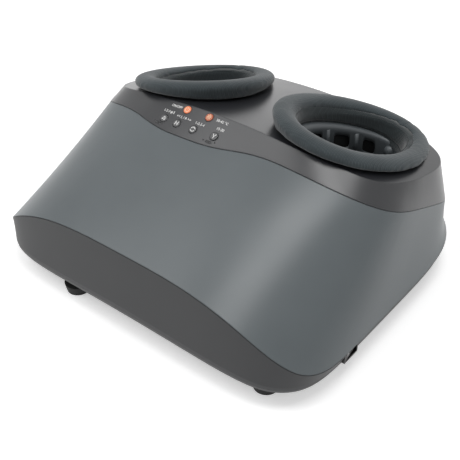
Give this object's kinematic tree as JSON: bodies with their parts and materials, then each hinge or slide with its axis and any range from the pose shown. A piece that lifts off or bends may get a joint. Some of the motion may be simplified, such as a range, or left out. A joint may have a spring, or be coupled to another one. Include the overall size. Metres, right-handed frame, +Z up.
{
  "type": "foot massager",
  "caption": "Floor-standing foot massager with a long sloping front, padded ankle openings, kneading rollers, air cushions, a button panel and a side rocker switch.",
  "frame": {"origin": "on the floor, under the middle of the body", "axes": "+X across the feet to the user's left as seen from the toes, +Y from the toes to the heels, +Z up"},
  "size_m": [0.43, 0.366, 0.1984],
  "materials": {
    "shell": "satin moulded grey",
    "base": "fine matt texture, charcoal",
    "trim": "satin moulded dark grey",
    "collar": "soft knit cover over foam",
    "ring": "matt black",
    "pocket": "matt grey",
    "sole": "fine texture",
    "airbag": "soft coated film",
    "heater": "silicone film",
    "roller": "smooth soft moulding",
    "shaft": "ground",
    "gear": "natural acetal",
    "gearbox": "glass-filled nylon",
    "bush": "sintered",
    "bearing": "natural nylon",
    "motor": "zinc plated",
    "bracket": "zinc plated sheet",
    "pump": "satin black",
    "valve": "white",
    "hose": "translucent silicone",
    "board": "solder-masked board",
    "parts": "moulded",
    "light": "clear light bar",
    "button_orange": "satin orange",
    "button_dark": "satin charcoal",
    "rocker": "satin black",
    "inlet": "satin black",
    "feet": "matt black",
    "screw": "zinc plated"
  },
  "bodies": {
    "housing": {"air_hose_left": "hose", "air_hose_right": "hose", "air_pump": "pump", "air_valve": "valve", "ankle_collar_left": "collar", "ankle_collar_right": "collar", "base_tub": "base", "bearing_blocks": "bearing", "button_switches": "parts", "case_screws": "screw", "collar_ring_left": "ring", "collar_ring_right": "ring", "control_board": "board", "foot_pocket_left": "pocket", "foot_pocket_right": "pocket", "foot_screws": "screw", "gearbox_base": "gearbox", "gearbox_lid": "gearbox", "heater_pad_left": "heater", "heater_pad_right": "heater", "indicator_lights": "light", "instep_airbag_left": "airbag", "instep_airbag_right": "airbag", "motor": "motor", "motor_bracket": "bracket", "power_board": "board", "power_components": "parts", "power_inlet": "inlet", "ramp_cover": "shell", "rocker_frame": "rocker", "rubber_feet": "feet", "shaft_bushes": "bush", "sole_plate_left": "sole", "sole_plate_right": "sole", "support_posts": "base", "top_trim": "trim"},
    "roller_set_front": {"roller_shaft_front": "shaft", "worm_gear_front": "gear", "kneading_roller_front_left": "roller", "kneading_roller_front_right": "roller"},
    "roller_set_middle": {"roller_shaft_middle": "shaft", "worm_gear_middle": "gear", "kneading_roller_middle_left": "roller", "kneading_roller_middle_right": "roller"},
    "roller_set_rear": {"roller_shaft_rear": "shaft", "worm_gear_rear": "gear", "kneading_roller_rear_left": "roller", "kneading_roller_rear_right": "roller"},
    "worm_drive": {"drive_shaft": "shaft"},
    "key_power": {"button_power": "button_orange"},
    "key_heat": {"button_heat": "button_orange"},
    "key_knead": {"button_knead": "button_dark"},
    "key_direction": {"button_direction": "button_dark"},
    "key_air": {"button_air": "button_dark"},
    "key_timer": {"button_timer": "button_dark"},
    "rocker_paddle": {"rocker": "rocker"}
  },
  "joints": [
    {"name": "roller_spin_middle", "type": "hinge", "parent": "housing", "child": "roller_set_middle", "pos_m": [0, -0.008, 0.046], "axis": [1, 0, 0], "continuous": true},
    {"name": "roller_spin_front", "type": "hinge", "parent": "housing", "child": "roller_set_front", "pos_m": [0, -0.095, 0.046], "axis": [1, 0, 0], "continuous": true},
    {"name": "roller_spin_rear", "type": "hinge", "parent": "housing", "child": "roller_set_rear", "pos_m": [0, 0.084, 0.046], "axis": [1, 0, 0], "continuous": true},
    {"name": "drive_spin", "type": "hinge", "parent": "housing", "child": "worm_drive", "pos_m": [0, -0.005, 0.0726], "axis": [0, 1, 0], "continuous": true},
    {"name": "press_power", "type": "slide", "parent": "housing", "child": "key_power", "axis": [0, 0.5541, -0.8325], "range_m": [0, 0.0008], "stiffness_N_per_m": 1500},
    {"name": "press_heat", "type": "slide", "parent": "housing", "child": "key_heat", "axis": [0, 0.5541, -0.8325], "range_m": [0, 0.0008], "stiffness_N_per_m": 1500},
    {"name": "press_knead", "type": "slide", "parent": "housing", "child": "key_knead", "axis": [0, 0.5541, -0.8325], "range_m": [0, 0.0008], "stiffness_N_per_m": 1500},
    {"name": "press_direction", "type": "slide", "parent": "housing", "child": "key_direction", "axis": [0, 0.5541, -0.8325], "range_m": [0, 0.0008], "stiffness_N_per_m": 1500},
    {"name": "press_air", "type": "slide", "parent": "housing", "child": "key_air", "axis": [0, 0.5541, -0.8325], "range_m": [0, 0.0008], "stiffness_N_per_m": 1500},
    {"name": "press_timer", "type": "slide", "parent": "housing", "child": "key_timer", "axis": [0, 0.5541, -0.8325], "range_m": [0, 0.0008], "stiffness_N_per_m": 1500},
    {"name": "rocker_tilt", "type": "hinge", "parent": "housing", "child": "rocker_paddle", "pos_m": [0.209, -0.083, 0.026], "axis": [0, 0, 1], "range_deg": [-16, 0]}
  ],
  "couplings": [
    {"joint": "roller_spin_front", "follows": "roller_spin_middle", "ratio": 1},
    {"joint": "roller_spin_rear", "follows": "roller_spin_middle", "ratio": 1},
    {"joint": "drive_spin", "follows": "roller_spin_middle", "ratio": 30}
  ]
}
